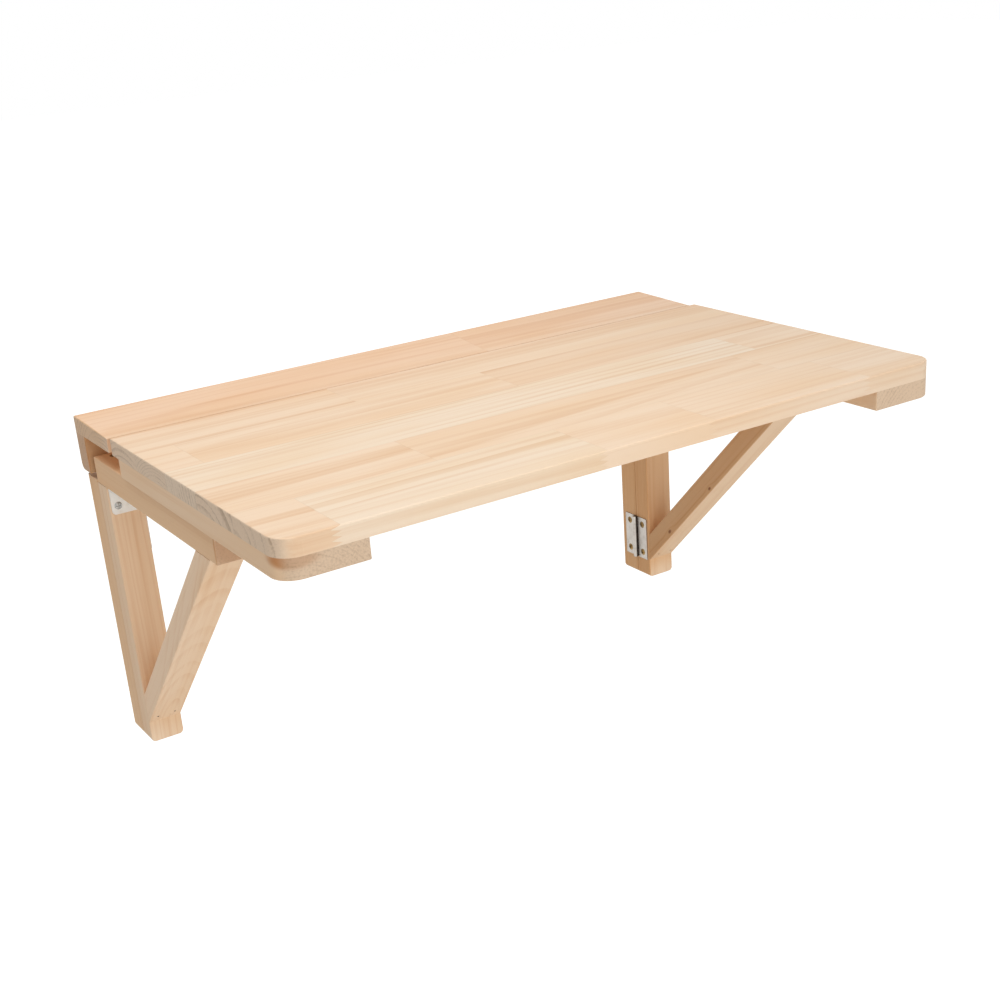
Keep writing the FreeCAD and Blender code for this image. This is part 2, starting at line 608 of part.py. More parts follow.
# Brackets: wall post, swing post, arm and brace on each side
post_hole = wall_hole("post_hole", S.wall_post_thickness)
wall_post_middle = f"(({wall_post_top} + {post_bottom}) / 2)"
foot_corners = [{"x": "Min", "z": "Min"}, {"x": "Max", "z": "Min"}]
back_corners = [{"x": "Min", "y": "Max"}, {"x": "Max", "y": "Max"}, {"y": "Max", "z": "Min"}]
for side, sign in SIDES.items():
    middle = f"({sign} * ({S.table_length} / 2 - {S.bracket_inset} - {S.post_width} / 2))"
    inner_face = f"({middle} - {sign} * {S.post_width} / 2)"
    low_x = f"{middle} - {S.post_width} / 2"
    inward = LEFT if sign > 0 else RIGHT
    pin_x = f"({inner_face} - {sign} * {barrel_radius})"
    pin_y = f"(-{S.wall_post_thickness} - {S.swing_play} / 2)"
    hinge_middles = {
        "upper": f"({wall_post_top} - {S.hinge_inset} - {S.hinge_height} / 2)",
        "lower": f"({post_bottom} + {S.hinge_inset} + {S.hinge_height} / 2)",
    }
    post_spots = []
    swing_spots = []
    for level, z in hinge_middles.items():
        frame = Frame((pin_x, pin_y, z), BACK, inward)
        hinge(f"{side}_{level}_hinge", frame, "post_plate", "swing_plate")
        post_spots += hinge_screw_spots(frame, 1)
        swing_spots += hinge_screw_spots(frame, -1)
    node(f"{side}_post_hinge_screws",
         group(f"{side}_post_hinge_screws", twins(small_screw, f"{side}_post_screw", post_spots)))
    node(f"{side}_swing_hinge_screws",
         group(f"{side}_swing_hinge_screws", twins(small_screw, f"{side}_swing_screw", swing_spots)))

    corner = Frame((middle, swing_front, arm_bottom), RIGHT, BACK)
    angle_spots = angle_screw_spots(corner)
    post_angle_spots = [spot for spot in angle_spots if spot[1] is head_front]
    arm_angle_spots = [spot for spot in angle_spots if spot[1] is head_down]
    node(f"{side}_corner_brace",
         twin(corner_brace, f"{side}_corner_brace", corner.origin, FreeCAD.Rotation()))
    node(f"{side}_corner_brace_screws",
         group(f"{side}_corner_brace_screws", twins(angle_screw, f"{side}_angle_screw", angle_spots)))

    arm_screw_spot = [((middle, f"({swing_back} + {swing_front}) / 2", arm_top), head_up)]
    node(f"{side}_arm_screw", twins(arm_screw, f"{side}_arm_screw", arm_screw_spot)[0])
    brads = brad_spots(middle)
    node(f"{side}_brace_brads",
         group(f"{side}_brace_brads", twins(brad, f"{side}_brad", brads["foot"] + brads["tip"])))

    wall_hole_spots = [((middle, "0", f"{wall_post_middle} + {end} * {S.post_hole_pitch} / 2"), head_front)
                       for end in (-1, 1)]
    wall_post = board(f"{side}_wall_post", (low_x, f"-{S.wall_post_thickness}", post_bottom),
                      (S.post_width, S.wall_post_thickness, f"{wall_post_top} - {post_bottom}"),
                      S.timber_round, foot_corners + back_corners, S.post_round, [{"y": "Min"}, {"z": "Max"}])
    drilled(f"{side}_wall_post", wall_post, twins(small_outline, f"{side}_post_pilot", post_spots)
            + twins(post_hole, f"{side}_post_hole", wall_hole_spots))

    swing_post = board(f"{side}_swing_post", (low_x, swing_front, post_bottom),
                       (S.post_width, S.swing_post_thickness, f"{arm_bottom} - {post_bottom}"),
                       S.timber_round, foot_corners, S.post_round, [{"y": "Max"}, {"z": "Max"}])
    drilled(f"{side}_swing_post", swing_post,
            twins(small_outline, f"{side}_swing_pilot", swing_spots)
            + twins(angle_outline, f"{side}_swing_angle_pilot", post_angle_spots)
            + twins(arm_outline, f"{side}_swing_arm_pilot", arm_screw_spot)
            + twins(brad_hole, f"{side}_swing_brad_hole", brads["foot"]))

    arm = board(f"{side}_arm", (low_x, arm_front, arm_bottom),
                (S.post_width, S.arm_length, S.arm_height), S.arm_round)
    drilled(f"{side}_arm", arm, twins(angle_outline, f"{side}_arm_pilot", arm_angle_spots)
            + twins(arm_outline, f"{side}_arm_hole", arm_screw_spot)
            + twins(brad_hole, f"{side}_arm_brad_hole", brads["tip"]))

    brace = brace_timber(f"{side}_brace", (middle, swing_front, post_bottom))
    drilled(f"{side}_brace", brace,
            twins(brad_hole, f"{side}_brace_brad_hole", brads["foot"] + brads["tip"]))

doc.recompute()
for thing in doc.Objects:
    if "Invalid" in thing.State or "Error" in thing.State:
        raise RuntimeError(f"{thing.Label} failed: {thing.State}")

# Cuts have to take material away
for thing in doc.Objects:
    if thing.TypeId == "Part::Cut" and thing.Shape.Volume >= Part.getShape(thing.Base).Volume:
        raise RuntimeError(f"{thing.Label} cuts nothing")

os.makedirs("parts", exist_ok=True)
for label, thing in nodes.items():
    shape = Part.getShape(thing)
    if shape.isNull() or not shape.isValid() or not shape.Solids:
        raise RuntimeError(f"{label} has no valid solid")
    shape.exportStep(f"parts/{label}.step")
    print(f"{label}: {len(shape.Solids)} solids, {shape.Volume / 1000:.2f} cm3")
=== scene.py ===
"""Looks of the wall mounted drop leaf table: glued pine, plated hinges, screws and white corner braces."""
import math

import bpy
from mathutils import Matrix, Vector


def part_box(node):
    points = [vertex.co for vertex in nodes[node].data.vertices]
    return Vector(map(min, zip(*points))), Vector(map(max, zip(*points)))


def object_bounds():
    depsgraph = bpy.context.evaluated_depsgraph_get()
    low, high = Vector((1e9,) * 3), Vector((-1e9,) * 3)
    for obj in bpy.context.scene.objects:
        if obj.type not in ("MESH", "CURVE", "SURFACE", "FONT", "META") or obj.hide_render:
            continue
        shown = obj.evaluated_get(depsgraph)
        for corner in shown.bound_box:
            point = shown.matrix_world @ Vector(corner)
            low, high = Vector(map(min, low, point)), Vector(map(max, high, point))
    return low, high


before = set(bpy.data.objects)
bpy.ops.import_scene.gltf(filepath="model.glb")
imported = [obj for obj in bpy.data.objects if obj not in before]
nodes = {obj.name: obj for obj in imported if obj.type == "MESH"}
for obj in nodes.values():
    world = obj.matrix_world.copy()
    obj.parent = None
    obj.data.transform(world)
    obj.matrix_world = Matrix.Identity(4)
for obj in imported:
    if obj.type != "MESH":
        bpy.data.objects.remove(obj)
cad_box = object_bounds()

MM = 0.001
ALONG_WALL = (1, 0, 0)
INTO_ROOM = (0, -1, 0)
UP = (0, 0, 1)


def srgb(red, green, blue):
    """Linear colour of a screen colour given in 0 to 255."""
    linear = []
    for part in (red / 255, green / 255, blue / 255):
        linear.append(part / 12.92 if part <= 0.04045 else ((part + 0.055) / 1.055) ** 2.4)
    return (*linear, 1.0)


class Tree:
    """Short ways to add shader nodes to one tree; most return the socket that carries the result."""

    def __init__(self, tree):
        self.tree = tree

    def feed(self, socket, value):
        if isinstance(value, bpy.types.NodeSocket):
            self.tree.links.new(value, socket)
        else:
            socket.default_value = value

    def add(self, kind, inputs=None, **settings):
        node = self.tree.nodes.new(kind)
        for name, value in settings.items():
            setattr(node, name, value)
        for name, value in (inputs or {}).items():
            self.feed(node.inputs[name], value)
        return node

    def math(self, operation, *values):
        return self.add("ShaderNodeMath", dict(enumerate(values)), operation=operation).outputs[0]

    def times(self, first, second):
        return self.math("MULTIPLY", first, second)

    def plus(self, *values):
        total = values[0]
        for value in values[1:]:
            total = self.math("ADD", total, value)
        return total

    def swing(self, share, amount):
        """Turns a share from 0 to 1 into a change of up to half the amount either way."""
        return self.times(self.math("SUBTRACT", share, 0.5), amount)

    def vector(self, operation, *values):
        node = self.add("ShaderNodeVectorMath", dict(enumerate(values)), operation=operation)
        return node.outputs["Value" if operation in ("DOT_PRODUCT", "LENGTH") else "Vector"]

    def scaled(self, vector, amount):
        return self.add("ShaderNodeVectorMath", {0: vector, "Scale": amount}, operation="SCALE").outputs[0]

    def split(self, vector):
        return self.add("ShaderNodeSeparateXYZ", {0: vector}).outputs

    def join(self, x, y, z):
        return self.add("ShaderNodeCombineXYZ", {0: x, 1: y, 2: z}).outputs[0]

    def noise(self, vector, scale, detail=2.0, roughness=0.5):
        stretched = self.vector("MULTIPLY", vector, scale)
        return self.add("ShaderNodeTexNoise", {"Vector": stretched, "Scale": 1.0, "Detail": detail,
                                               "Roughness": roughness}).outputs

    def chance(self, number):
        """A fixed random share for each whole number."""
        return self.add("ShaderNodeTexWhiteNoise", {"W": number}, noise_dimensions="1D").outputs["Value"]

    def ease(self, value, low, high, start=0.0, end=1.0):
        return self.add("ShaderNodeMapRange", {"Value": value, "From Min": low, "From Max": high,
                                               "To Min": start, "To Max": end},
                        interpolation_type="SMOOTHSTEP").outputs[0]

    def spread(self, value, start, end):
        """Maps a share from 0 to 1 onto a range."""
        return self.add("ShaderNodeMapRange", {"Value": value, "To Min": start, "To Max": end}).outputs[0]

    def mix(self, share, first, second):
        return self.add("ShaderNodeMix", {0: share, 6: first, 7: second}, data_type="RGBA").outputs[2]

    def choice(self, share, colours):
        """One of several colours, each for an equal part of the share."""
        node = self.add("ShaderNodeValToRGB", {"Fac": share})
        node.color_ramp.interpolation = "CONSTANT"
        stops = node.color_ramp.elements
        stops.remove(stops[-1])
        for i, colour in enumerate(colours):
            stop = stops[0] if i == 0 else stops.new(i / len(colours))
            stop.color = colour
        return node.outputs["Color"]


def new_material(name):
    material = bpy.data.materials.new(name)
    material.use_nodes = True
    material.node_tree.nodes.clear()
    return material, Tree(material.node_tree)


def finish_material(tree, shader):
    output = tree.add("ShaderNodeOutputMaterial")
    tree.feed(output.inputs["Surface"], shader)


def dress(material, *names):
    for name in names:
        for slot in nodes[name].material_slots:
            slot.material = material


# Ground colours of pine under plain white light
PALE = srgb(254, 232, 206)
CREAM = srgb(254, 227, 198)
BLUSH = srgb(253, 225, 195)
TAN = srgb(250, 219, 187)
BISCUIT = srgb(244, 212, 178)
STRAW = srgb(239, 199, 157)
AMBER = srgb(232, 186, 138)
UMBER = srgb(220, 177, 133)
RESIN = srgb(196, 134, 82)
KNOT = srgb(146, 92, 54)
# What late wood, cloudy patches and cut ends do to the ground colour
LATE_TINT = (0.80, 0.61, 0.42)
CLOUD_TINT = (0.97, 0.91, 0.83)
END_TINT = (0.86, 0.87, 0.90)
END_LATE_TINT = (0.64, 0.60, 0.56)
END_GROUND = srgb(226, 199, 170)
# Noise: patches per metre along the grain, across it and through the wood, then detail and roughness
WANDER_SCALE = (4, 14, 14)
FIBRE_SCALE = (22, 850, 850)
STREAK_SCALE = (2.2, 170, 170)
BAND_SCALE = (1.5, 60, 60)
CLOUD_SCALE = (5, 22, 22)
RESIN_SCALE = (55, 1500, 1500)
PORE_SCALE = (500, 620, 620)
FINE_NOISE = (3.0, 0.6)
PORE_NOISE = (2.0, 0.6)
RESIN_DETAIL = 1.0
MIDDLE_GREY = (0.5, 0.5, 0.5)
SEED_SHIFT = (3.7, 1.9, 1.0)
# Growth rings: how uneven they are, and in which part of a year late wood darkens and stops
YEAR_SCALE = (0.6, 1, 1)
YEAR_SWING = 1.6
YEAR_STRENGTH = (0.25, 1.0)
SEED_YEARS = 31.0
LATE_RISE = (0.3, 0.86)
LATE_FALL = (0.88, 1.0)
# How far each noise changes the figure of long grain
STREAK_SWING = 1.1
BAND_SWING = 0.45
FIBRE_SWING = 0.24
RESIN_SHARE = 0.06
RESIN_EDGE = (0.66, 0.74)
CLOUD_EDGE = (0.35, 0.75)
# Cut ends: ring lines for each one that shows on a face, their part of a year, pores and clouds
END_RINGS = 1.7
END_RISE = (0.55, 0.9)
END_FALL = (0.92, 1.0)
END_CONTRAST = 0.2
END_GROUND_SHARE = 0.5
END_CLOUD = (0.3, 0.6, 0.3, 1.0)
END_CLOUD_SWING = 0.5
PORE_EDGE = (0.3, 0.7)
PORE_SWING = 0.5
# Surface of the wood
PINE_ROUGHNESS = 0.54
FIBRE_ROUGHNESS = 0.16
FIBRE_RELIEF_SHARE = 0.6
LATE_RELIEF_SHARE = 0.4
PINE_SPECULAR = 0.3
GRAIN_STRENGTH = 0.25
GRAIN_DEPTH = 0.15 * MM
# How squarely a face must look along the grain to be a cut end
END_FACING = (0.45, 0.9)
# Where the painted shade on the face at low X ends, in mm along X from the timber's middle
LOW_X_SHADE_EDGE = (-14.6, -13.6)

PINE_INPUTS = {
    "Place": "NodeSocketVector",
    "Ground": "NodeSocketColor",
    "End": "NodeSocketFloat",
    "Across": "NodeSocketFloat",
    "Through": "NodeSocketFloat",
    "Drift": "NodeSocketFloat",
    "Dip": "NodeSocketFloat",
    "Ring": "NodeSocketFloat",
    "Wave": "NodeSocketFloat",
    "Contrast": "NodeSocketFloat",
    "Knot": "NodeSocketFloat",
    "Push": "NodeSocketFloat",
    "Seed": "NodeSocketFloat",
}


def pine_group():
    """Solid pine: growth rings about a pith that runs along X, with fibres, resin streaks and cut ends."""
    group = bpy.data.node_groups.new("pine", "ShaderNodeTree")
    for name, kind in PINE_INPUTS.items():
        group.interface.new_socket(name, in_out="INPUT", socket_type=kind)
    group.interface.new_socket("Color", in_out="OUTPUT", socket_type="NodeSocketColor")
    group.interface.new_socket("Roughness", in_out="OUTPUT", socket_type="NodeSocketFloat")
    group.interface.new_socket("Height", in_out="OUTPUT", socket_type="NodeSocketFloat")
    t = Tree(group)
    given = t.add("NodeGroupInput").outputs
    seed = given["Seed"]
    place = t.vector("ADD", given["Place"], t.scaled(SEED_SHIFT, seed))

    # Slow wander of the grain, so that rings waver along the length
    wander = t.vector("SUBTRACT", t.noise(place, WANDER_SCALE)["Color"], MIDDLE_GREY)
    along, across, through = t.split(t.vector("ADD", given["Place"], t.scaled(wander, given["Wave"])))
    across = t.math("SUBTRACT", across, t.plus(given["Across"], t.times(along, given["Drift"])))
    through = t.math("SUBTRACT", through, t.plus(given["Through"], t.times(along, given["Dip"])))
    radius = t.plus(t.vector("LENGTH", t.join(across, through, 0.0)), given["Push"])

    # Rings of uneven width and strength: each darkens slowly and stops at a line
    years = t.math("DIVIDE", radius, given["Ring"])
    age = t.plus(years, t.times(t.noise(t.join(years, seed, 0.0), YEAR_SCALE)[0], YEAR_SWING))
    phase = t.math("FRACT", age)
    year = t.plus(t.math("FLOOR", age), t.times(seed, SEED_YEARS))
    strength = t.spread(t.chance(year), *YEAR_STRENGTH)
    late = t.times(t.times(t.ease(phase, *LATE_RISE), t.ease(phase, *LATE_FALL, 1.0, 0.0)), strength)

    # Fibres, resin streaks, soft bands and broad clouds of colour
    fibre = t.noise(place, FIBRE_SCALE, *FINE_NOISE)[0]
    streak = t.noise(place, STREAK_SCALE, *FINE_NOISE)[0]
    band = t.noise(place, BAND_SCALE)[0]
    cloud = t.noise(place, CLOUD_SCALE)[0]
    resin = t.ease(t.noise(place, RESIN_SCALE, RESIN_DETAIL)[0], *RESIN_EDGE)
    figure = t.plus(t.times(late, given["Contrast"]), t.swing(streak, STREAK_SWING),
                    t.swing(band, BAND_SWING), t.swing(fibre, FIBRE_SWING), t.times(resin, RESIN_SHARE))

    # Long grain
    ground = given["Ground"]
    ground = t.mix(t.ease(cloud, *CLOUD_EDGE), ground, t.vector("MULTIPLY", ground, CLOUD_TINT))
    long_grain = t.mix(figure, ground, t.vector("MULTIPLY", ground, LATE_TINT))

    # End grain: greyer, with fine ring lines and open pores
    pores = t.ease(t.noise(place, PORE_SCALE, *PORE_NOISE)[0], *PORE_EDGE)
    tinted = t.vector("MULTIPLY", given["Ground"], END_TINT)
    end_ground = t.mix(END_GROUND_SHARE, tinted, END_GROUND)
    end_phase = t.math("FRACT", t.times(age, END_RINGS))
    end_late = t.times(t.ease(end_phase, *END_RISE), t.ease(end_phase, *END_FALL, 1.0, 0.0))
    end_contrast = t.plus(given["Contrast"], END_CONTRAST)
    end_late = t.times(t.times(end_late, t.ease(cloud, *END_CLOUD)), end_contrast)
    end_figure = t.plus(end_late, t.swing(pores, PORE_SWING), t.swing(cloud, END_CLOUD_SWING))
    end_grain = t.mix(end_figure, end_ground, t.vector("MULTIPLY", end_ground, END_LATE_TINT))

    color = t.mix(given["Knot"], t.mix(given["End"], long_grain, end_grain), KNOT)
    rough = t.plus(PINE_ROUGHNESS, t.times(fibre, FIBRE_ROUGHNESS))
    height = t.plus(t.times(fibre, FIBRE_RELIEF_SHARE), t.times(late, LATE_RELIEF_SHARE))
    out = t.add("NodeGroupOutput")
    for name, value in (("Color", color), ("Roughness", rough), ("Height", height)):
        t.feed(out.inputs[name], value)
    return group


PINE = pine_group()


def pine_shader(t, color, roughness, height):
    bump = t.add("ShaderNodeBump", {"Strength": GRAIN_STRENGTH, "Distance": GRAIN_DEPTH, "Height": height})
    shader = t.add("ShaderNodeBsdfPrincipled", {"Base Color": color, "Roughness": roughness,
                                                "Specular IOR Level": PINE_SPECULAR,
                                                "Normal": bump.outputs[0]})
    finish_material(t, shader.outputs[0])


# A knot's stretch along the grain, the shares of its radius at its soft edge, and how it bends rings
KNOT_STRETCH = (0.6, 1.0, 0.0)
KNOT_EDGE_SHARES = (0.4, 1.3)
KNOT_BEND_SHARES = (5, 1.5)
# Shares of a patch's reach at its soft edge, and its greatest share of the colour; a patch is a real stain
# on some timbers and painted light and shade on others
TONE_PATCH_EDGE_SHARES = (0.45, 1.0)
TONE_PATCH_SHARE = 0.9


def knot_field(t, place, knots):
    """Where knots darken the wood and how far they push rings aside; knots are along, across, radius."""
    mask = 0.0
    push = 0.0
    for along, across, radius in knots:
        away = t.vector("SUBTRACT", place, (along * MM, across * MM, 0.0))
        distance = t.vector("LENGTH", t.vector("MULTIPLY", away, KNOT_STRETCH))
        inner, outer = [share * radius * MM for share in KNOT_EDGE_SHARES]
        reach, bend = [share * radius * MM for share in KNOT_BEND_SHARES]
        mask = t.math("MAXIMUM", mask, t.ease(distance, inner, outer, 1.0, 0.0))
        push = t.math("ADD", push, t.ease(distance, 0.0, reach, bend, 0.0))
    return mask, push


def with_tone_patch(t, place, ground, colour, middle, reach):
    """Ground colour with a patch of another colour about a middle, a real stain on some timbers and painted
    light and shade on others; middle and reach are along, across and through.
    """
    away = t.vector("SUBTRACT", place, [length * MM for length in middle])
    distance = t.vector("LENGTH", t.vector("DIVIDE", away, [length * MM for length in reach]))
    return t.mix(t.ease(distance, *TONE_PATCH_EDGE_SHARES, TONE_PATCH_SHARE, 0.0), ground, colour)


def timber(name, axis, side, ground, pith, ring=4.5, drift=0.0, dip=0.0, wave=6, contrast=0.5, low_x_shade=None,
           knots=(), tone_patch=(), seed=1.0):
    """Pine for one timber with its grain along axis; lengths are in mm from the timber's middle.

    The pith lies at a place across, along side, and at a depth through the timber. The darker ground
    colour given for the face at low X is painted shade on that side of the timber.
    """
    low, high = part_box(name)
    along = Vector(axis).normalized()
    broad = Vector(side).normalized()
    material, t = new_material(f"pine_{name}")
    coords = t.add("ShaderNodeTexCoord").outputs
    local = t.vector("SUBTRACT", coords["Object"], tuple((low + high) / 2))
    place = t.join(*[t.vector("DOT_PRODUCT", local, tuple(v)) for v in (along, broad, along.cross(broad))])
    facing = t.math("ABSOLUTE", t.vector("DOT_PRODUCT", coords["Normal"], tuple(along)))
    knot, push = knot_field(t, place, knots)
    # A patch of another colour: a real stain on some timbers, painted light and shade on others, as noted
    # at each
    if tone_patch:
        ground = with_tone_patch(t, place, ground, *tone_patch)
    if low_x_shade:
        # Painted shade: a darker ground on the face at low X
        ground = t.mix(t.ease(t.split(local)[0], *[edge * MM for edge in LOW_X_SHADE_EDGE]), low_x_shade, ground)
    wood = t.add("ShaderNodeGroup", node_tree=PINE)
    values = {"Place": place, "Ground": ground, "End": t.ease(facing, *END_FACING), "Across": pith[0] * MM,
              "Through": pith[1] * MM, "Drift": drift, "Dip": dip, "Ring": ring * MM, "Wave": wave * MM,
              "Contrast": contrast, "Knot": knot, "Push": push, "Seed": seed}
    for socket, value in values.items():
        t.feed(wood.inputs[socket], value)
    pine_shader(t, *wood.outputs[:3])
    dress(material, name)


# The glued top in mm: rows of staves by depth from the wall, each stave up to the finger joint at its right
ROW_EDGES = (86, 146, 208, 266, 330)
TOP_END = 300
FINGER_PITCH = 4
FINGER_LENGTH = 8
SEAM_DARK = 0.94
SEAM_WIDTH = (0.1, 0.5)
STAVE_SEEDS = (1.37, 0.5)
# Farther than any place on the top, in m
FAR = 1.0
TOP_KNOTS = ((20, 84, 1.6),)
# Slow drifts of tone over the top, in mm: warmer towards the wall along Y, greyer to the right along X
WALL_TINT = (0.99, 0.90, 0.855)
WALL_DRIFT = (-130, -40)
RIGHT_TINT = (0.93, 0.955, 0.99)
RIGHT_DRIFT = (20, 320)
# A darker, warmer patch on the left cut end of the strip, which is painted shade, and browner wood on the
# left cut end of the rail
STRIP_END_PAINTED_SHADE = (AMBER, (-TOP_END, 36, -7), (1.5, 50, 26))
RAIL_END_STAIN = (RESIN, (-TOP_END, -4, 0), (1.5, 30, 30))
STAVE_KEYS = ("right_end", "ground", "across", "through", "drift", "ring", "wave", "contrast")
STAVE_ROWS = (
    (
        (72, BLUSH, 66, -62, 0.000, 7.0, 16, 0.35),
        (TOP_END, BLUSH, 44, -95, 0.010, 9.5, 9, 0.70),
    ),
    (
        (-107, BLUSH, 118, -70, 0.000, 7.5, 5, 0.45),
        (TOP_END, BLUSH, 100, -110, 0.000, 8.0, 6, 0.35),
    ),
    (
        (-268, CREAM, 190, -60, 0.000, 5.0, 4, 0.30),
        (14, CREAM, 170, -80, -0.030, 8.0, 10, 0.30),
        (TOP_END, TAN, 176, -50, -0.040, 11.0, 8, 0.65),
    ),
    (
        (224, PALE, 130, -30, -0.015, 8.5, 10, 0.40),
        (TOP_END, BLUSH, 240, -70, 0.000, 8.0, 6, 0.45),
    ),
    (
        (-138, CREAM, 260, -45, -0.050, 17.0, 8, 0.75),
        (194, BLUSH, 250, -70, -0.127, 17.0, 4, 0.35),
        (TOP_END, CREAM, 300, -90, 0.000, 8.0, 5, 0.25),
    ),
    (
        (-253, BLUSH, 350, -25, 0.060, 18.0, 18, 0.75),
        (-36, PALE, 400, -60, -0.030, 9.0, 9, 0.45),
        (66, CREAM, 365, -130, 0.000, 7.0, 4, 0.20),
        (226, CREAM, 420, -40, -0.010, 7.5, 4, 0.30),
        (TOP_END, CREAM, 350, -80, 0.000, 8.0, 5, 0.25),
    ),
)
# Each value lies in a range and has a unit
STAVE_RANGES = {
    "across": (0, 500, MM),
    "through": (-200, 0, MM),
    "drift": (-0.2, 0.2, 1),
    "ring": (0, 20, MM),
    "wave": (0, 20, MM),
    "contrast": (0, 1, 1),
}


def stave_number(t, x, depth, height):
    """Counts rows and finger joints to number each stave; edges show the flat fingers as a zigzag."""
    teeth = t.times(t.math("PINGPONG", height, FINGER_PITCH / 2 * MM), 2 * FINGER_LENGTH / FINGER_PITCH)
    reach = t.plus(x, teeth)
    number = 0.0
    seam = FAR
    row_low = -FAR
    for i, row in enumerate(STAVE_ROWS):
        row_high = ROW_EDGES[i] * MM if i < len(ROW_EDGES) else FAR
        in_row = t.times(t.math("GREATER_THAN", depth, row_low), t.math("LESS_THAN", depth, row_high))
        for stave in row[:-1]:
            past = t.math("SUBTRACT", reach, stave[0] * MM)
            number = t.math("MULTIPLY_ADD", in_row, t.math("GREATER_THAN", past, 0.0), number)
            away = t.plus(t.math("ABSOLUTE", past), t.math("SUBTRACT", FAR, in_row))
            seam = t.math("MINIMUM", seam, away)
        if i < len(ROW_EDGES):
            past_row = t.math("SUBTRACT", depth, row_high)
            number = t.math("MULTIPLY_ADD", t.math("GREATER_THAN", past_row, 0.0), float(len(row)), number)
            seam = t.math("MINIMUM", seam, t.math("ABSOLUTE", past_row))
        row_low = row_high
    return number, seam


def stave_values(t, number):
    """Looks up what STAVE_ROWS says of the stave with this number."""
    staves = [dict(zip(STAVE_KEYS, stave)) for row in STAVE_ROWS for stave in row]
    share = t.math("DIVIDE", t.plus(number, 0.5), float(len(staves)))
    values = {"Ground": t.choice(share, [stave["ground"] for stave in staves])}
    names = list(STAVE_RANGES)
    for trio in (names[:3], names[3:]):
        coded = []
        for stave in staves:
            shares = []
            for name in trio:
                low, high = STAVE_RANGES[name][:2]
                shares.append((stave[name] - low) / (high - low))
            coded.append((*shares, 1.0))
        channels = t.split(t.choice(share, coded))
        for channel, name in zip(channels, trio):
            low, high, unit = STAVE_RANGES[name]
            values[name.title()] = t.spread(channel, low * unit, high * unit)
    return values


def drifting(t, ground, place, tint, limits):
    """Ground colour that takes on a tint bit by bit between two places."""
    share = t.ease(place, limits[0] * MM, limits[1] * MM)
    return t.mix(share, ground, t.vector("MULTIPLY", ground, tint))


def glued_top():
    """Finger jointed pine of the strip and the leaf, whose rows run on across the slot between them."""
    material, t = new_material("pine_glued_top")
    coords = t.add("ShaderNodeTexCoord").outputs
    x, y, z = t.split(coords["Object"])
    depth = t.times(y, -1.0)
    height = t.math("SUBTRACT", z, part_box("leaf_panel")[1].z)
    number, seam = stave_number(t, x, depth, height)
    values = stave_values(t, number)
    values["Place"] = t.join(x, depth, height)
    ground = drifting(t, values["Ground"], y, WALL_TINT, WALL_DRIFT)
    ground = drifting(t, ground, x, RIGHT_TINT, RIGHT_DRIFT)
    # Painted shade on the left cut end of the strip
    values["Ground"] = with_tone_patch(t, values["Place"], ground, *STRIP_END_PAINTED_SHADE)
    values["Knot"], values["Push"] = knot_field(t, values["Place"], TOP_KNOTS)
    values["End"] = t.ease(t.math("ABSOLUTE", t.split(coords["Normal"])[0]), *END_FACING)
    values["Seed"] = t.math("MULTIPLY_ADD", number, *STAVE_SEEDS)
    wood = t.add("ShaderNodeGroup", node_tree=PINE)
    for socket, value in values.items():
        t.feed(wood.inputs[socket], value)
    line = t.ease(seam, SEAM_WIDTH[0] * MM, SEAM_WIDTH[1] * MM, SEAM_DARK, 1.0)
    color = t.scaled(wood.outputs["Color"], line)
    pine_shader(t, color, wood.outputs["Roughness"], wood.outputs["Height"])
    dress(material, "fixed_strip", "leaf_panel")


# Painted shade in the fold of a hinge, where the plate meets the barrel: how far from the pin and how low
# beside it, in mm
FOLD_PAINTED_SHADE = srgb(74, 66, 60)
FOLD_REACH = (2.9, 3.4)
FOLD_RISE = (0.2, 1.6)
# Tarnish and fine rubbing of plated metal
TARNISH_NOISE = (4.0, 0.6)
TARNISH_EDGE = (0.35, 0.75)
RUB_SCALE = (9000, 9000, 500)
RUB_ROUGHNESS = 0.10
RUB_STRENGTH = 0.2
RUB_DEPTH = 0.03 * MM
# Powder coat: colours, patches and bumps per metre, and shine
COAT_CLEAN = srgb(252, 249, 243)
COAT_STAINED = srgb(240, 233, 221)
COAT_STAIN_SCALE = (120, 120, 120)
COAT_STAIN_DETAIL = 3.0
COAT_STAIN_EDGE = (0.45, 0.8)
COAT_ROUGHNESS = (0.28, 0.15)
PEEL_SCALE = (900, 900, 900)
PEEL_STRENGTH = 0.25
PEEL_DEPTH = 0.05 * MM


def fold_painted_shade(t, place, pin, proud):
    """Share of painted shade in the fold where a hinge plate meets the barrel, which stands proud of it."""
    low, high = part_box(pin)
    lengths = tuple(high - low)
    across = [0.0 if length == max(lengths) else 1.0 for length in lengths]
    away = t.vector("MULTIPLY", t.vector("SUBTRACT", place, tuple((low + high) / 2)), across)
    near = t.ease(t.vector("LENGTH", away), FOLD_REACH[0] * MM, FOLD_REACH[1] * MM, 1.0, 0.0)
    deep = t.ease(t.vector("DOT_PRODUCT", away, proud), FOLD_RISE[0] * MM, FOLD_RISE[1] * MM, 1.0, 0.0)
    return t.times(near, deep)


